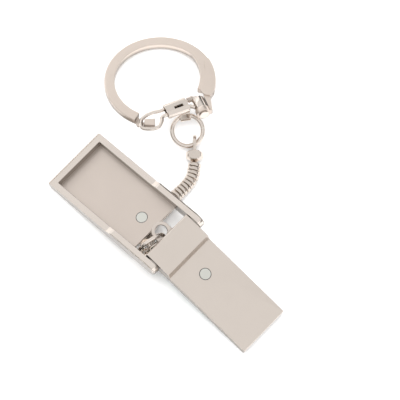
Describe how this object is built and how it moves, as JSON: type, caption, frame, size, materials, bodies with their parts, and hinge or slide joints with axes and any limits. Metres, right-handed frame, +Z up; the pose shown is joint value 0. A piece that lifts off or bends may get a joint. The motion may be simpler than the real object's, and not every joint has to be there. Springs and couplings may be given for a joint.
{
  "type": "usb flash drive",
  "caption": "Flip-out USB flash drive: a metal tray and plug joined by a hinge, with a snake chain and a clip key ring.",
  "frame": {"origin": "centre of the whole object in plan, on the table it lies on", "axes": "+X along the case towards the plug, +Z up from the table, +Y towards the key ring"},
  "size_m": [0.066, 0.0446, 0.0093],
  "materials": {
    "case_steel": "satin",
    "floor_steel": "satin",
    "plug_steel": "satin",
    "magnet": "satin",
    "pin_steel": "polished",
    "board_green": "gloss",
    "gold": "polished",
    "mould_black": "matte",
    "silicon": "gloss",
    "ceramic": "matte",
    "film": "matte",
    "chain_metal": "polished",
    "ring_metal": "polished",
    "band_steel": "satin"
  },
  "bodies": {
    "plug": {"flap_carrier": "plug_steel", "flap_magnet": "magnet", "usb_board": "board_green", "usb_contacts": "gold", "memory_mould": "mould_black", "flash_die": "silicon", "controller_die": "silicon", "board_passives": "ceramic", "adhesive_film": "film"},
    "case": {"case_frame": "case_steel", "tray_floor": "floor_steel", "tray_magnet": "magnet", "hinge_pins": "pin_steel", "friction_washers": "pin_steel"},
    "small_ring": {"lower_jump_ring": "ring_metal"},
    "lower_cap": {"lower_end_cap": "chain_metal"},
    "links_7": {"chain_7": "chain_metal"},
    "links_6": {"chain_6": "chain_metal"},
    "links_5": {"chain_5": "chain_metal"},
    "links_4": {"chain_4": "chain_metal"},
    "links_3": {"chain_3": "chain_metal"},
    "links_2": {"chain_2": "chain_metal"},
    "links_1": {"chain_1": "chain_metal"},
    "upper_cap": {"upper_end_cap": "chain_metal"},
    "large_ring": {"jump_ring": "ring_metal"},
    "strap": {"strap_sleeve": "ring_metal"},
    "latch": {"latch_loop": "ring_metal", "latch_spring": "ring_metal", "latch_knuckle": "ring_metal"},
    "key_ring": {"ring_band": "band_steel", "hinge_leaf": "band_steel", "pivot_rivet": "ring_metal"}
  },
  "joints": [
    {"name": "case_hinge", "type": "hinge", "parent": "plug", "child": "case", "pos_m": [0.00638, -0.01442, 0.00633], "axis": [0, 1, 0], "range_deg": [0, 200]},
    {"name": "small_ring_turn", "type": "hinge", "parent": "plug", "child": "small_ring", "pos_m": [0.0029, -0.0174, 0.00548], "axis": [0.974, -0.2267, 0], "range_deg": [-2, 0.5]},
    {"name": "lower_cap_swing", "type": "hinge", "parent": "small_ring", "child": "lower_cap", "pos_m": [0.00235, -0.01892, 0.00267], "axis": [0, 0, 1], "range_deg": [-3, 3]},
    {"name": "chain_bend_7", "type": "hinge", "parent": "lower_cap", "child": "links_7", "pos_m": [-0.00056, -0.01501, 0.00148], "axis": [0, 0, 1], "range_deg": [-5, 5]},
    {"name": "chain_bend_6", "type": "hinge", "parent": "links_7", "child": "links_6", "pos_m": [-0.00098, -0.01327, 0.00148], "axis": [0, 0, 1], "range_deg": [-5, 5]},
    {"name": "chain_bend_5", "type": "hinge", "parent": "links_6", "child": "links_5", "pos_m": [-0.00099, -0.01057, 0.00148], "axis": [0, 0, 1], "range_deg": [-5, 5]},
    {"name": "chain_bend_4", "type": "hinge", "parent": "links_5", "child": "links_4", "pos_m": [-0.00105, -0.00787, 0.00148], "axis": [0, 0, 1], "range_deg": [-5, 5]},
    {"name": "chain_bend_3", "type": "hinge", "parent": "links_4", "child": "links_3", "pos_m": [-0.00147, -0.00521, 0.00148], "axis": [0, 0, 1], "range_deg": [-5, 5]},
    {"name": "chain_bend_2", "type": "hinge", "parent": "links_3", "child": "links_2", "pos_m": [-0.0014, -0.00252, 0.00148], "axis": [0, 0, 1], "range_deg": [-5, 5]},
    {"name": "chain_bend_1", "type": "hinge", "parent": "links_2", "child": "links_1", "pos_m": [-0.0018, 0.00012, 0.00148], "axis": [0, 0, 1], "range_deg": [-5, 5]},
    {"name": "upper_cap_bend", "type": "hinge", "parent": "links_1", "child": "upper_cap", "pos_m": [-0.00325, 0.00238, 0.00148], "axis": [0, 0, 1], "range_deg": [-5, 5]},
    {"name": "large_ring_swing", "type": "hinge", "parent": "upper_cap", "child": "large_ring", "pos_m": [-0.00668, 0.00607, 0.0018], "axis": [-0.7325, -0.6807, 0], "range_deg": [-10, 10]},
    {"name": "strap_swing", "type": "hinge", "parent": "large_ring", "child": "strap", "pos_m": [-0.01188, 0.00855, 0.00412], "axis": [0.5888, 0.8083, 0], "range_deg": [-10, 10]},
    {"name": "sleeve_slide", "type": "slide", "parent": "strap", "child": "latch", "axis": [0.3814, 0.915, -0.1316], "range_m": [-0.0001, 0.0011]},
    {"name": "latch_pivot", "type": "hinge", "parent": "latch", "child": "key_ring", "pos_m": [-0.01024, 0.01174, 0.00676], "axis": [0.8595, -0.4142, 0.2995], "range_deg": [0, 60]}
  ]
}
